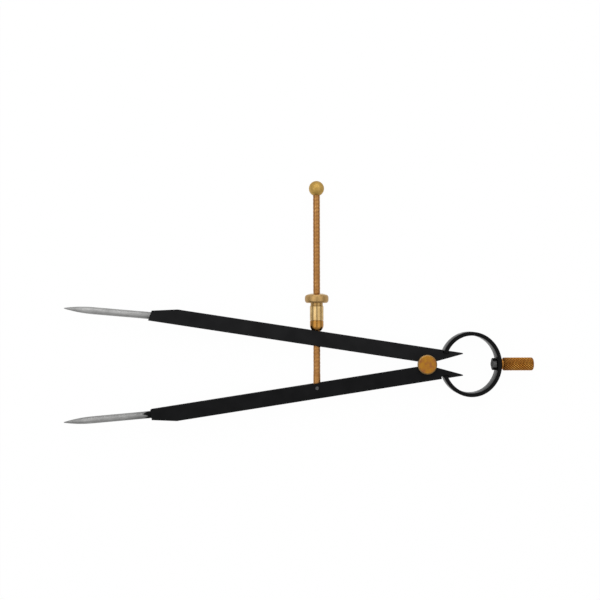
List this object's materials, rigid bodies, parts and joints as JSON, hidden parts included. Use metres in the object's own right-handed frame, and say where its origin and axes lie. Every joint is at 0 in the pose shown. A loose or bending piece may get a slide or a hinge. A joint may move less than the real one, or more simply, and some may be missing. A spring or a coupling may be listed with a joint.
{
  "type": "machinist divider",
  "caption": "Flat-leg spring dividers with ground steel points, a bow spring with a knurled handle, and a threaded adjusting screw with nut, washer and ball end.",
  "frame": {"origin": "on the fulcrum's axis, at the back face of the fulcrum stud", "axes": "+X along the line of symmetry from the points to the handle, +Y across it along the adjusting screw, +Z along the fulcrum's axis towards the front face"},
  "size_m": [0.1982, 0.1024, 0.01],
  "materials": {
    "black_steel": "black oxide on flat steel, satin",
    "spring_steel": "blackened spring steel strip, semi-gloss",
    "ground_steel": "bright steel, ground lengthwise",
    "turned_brass": "turned brass, slightly tarnished",
    "knurled_brass": "brass with a fine diamond knurl",
    "threaded_brass": "brass rod with a fine rolled thread",
    "polished_brass": "polished yellow brass"
  },
  "bodies": {
    "bow": {"fulcrum_stud": "turned_brass", "bow_spring": "spring_steel", "handle": "knurled_brass", "handle_stud": "black_steel", "handle_nut": "black_steel"},
    "upper_leg": {"leg_upper": "black_steel", "point_upper": "ground_steel"},
    "lower_leg": {"leg_lower": "black_steel", "point_lower": "ground_steel", "cross_pin": "ground_steel"},
    "screw": {"adjusting_screw": "threaded_brass", "screw_ball": "polished_brass"},
    "washer": {"ball_washer": "turned_brass"},
    "nut": {"adjusting_nut": "polished_brass"}
  },
  "joints": [
    {"name": "upper_leg_swing", "type": "hinge", "parent": "bow", "child": "upper_leg", "pos_m": [0, 0, 0.0039], "axis": [0, 0, -1], "range_deg": [-8.5, 15], "deforming": ["bow_spring"]},
    {"name": "lower_leg_swing", "type": "hinge", "parent": "bow", "child": "lower_leg", "pos_m": [0, 0, 0.0039], "axis": [0, 0, 1], "range_deg": [-8.5, 15], "deforming": ["bow_spring"]},
    {"name": "screw_swing", "type": "hinge", "parent": "lower_leg", "child": "screw", "pos_m": [-0.04635, -0.00984, 0.0039], "axis": [0, 0, -1], "range_deg": [-9.82, 17.3]},
    {"name": "washer_slide", "type": "slide", "parent": "screw", "child": "washer", "axis": [0, 1, 0], "range_m": [-0.01352, 0.02385]},
    {"name": "nut_spin", "type": "hinge", "parent": "washer", "child": "nut", "pos_m": [-0.04635, 0.02, 0.0039], "axis": [0, 1, 0], "range_deg": [-9735, 17170]}
  ],
  "couplings": [
    {"joint": "lower_leg_swing", "follows": "upper_leg_swing", "ratio": 1},
    {"joint": "screw_swing", "follows": "upper_leg_swing", "ratio": 1.15},
    {"joint": "washer_slide", "follows": "upper_leg_swing", "m_per_rad": 0.091},
    {"joint": "nut_spin", "follows": "upper_leg_swing", "ratio": 1143.5}
  ]
}
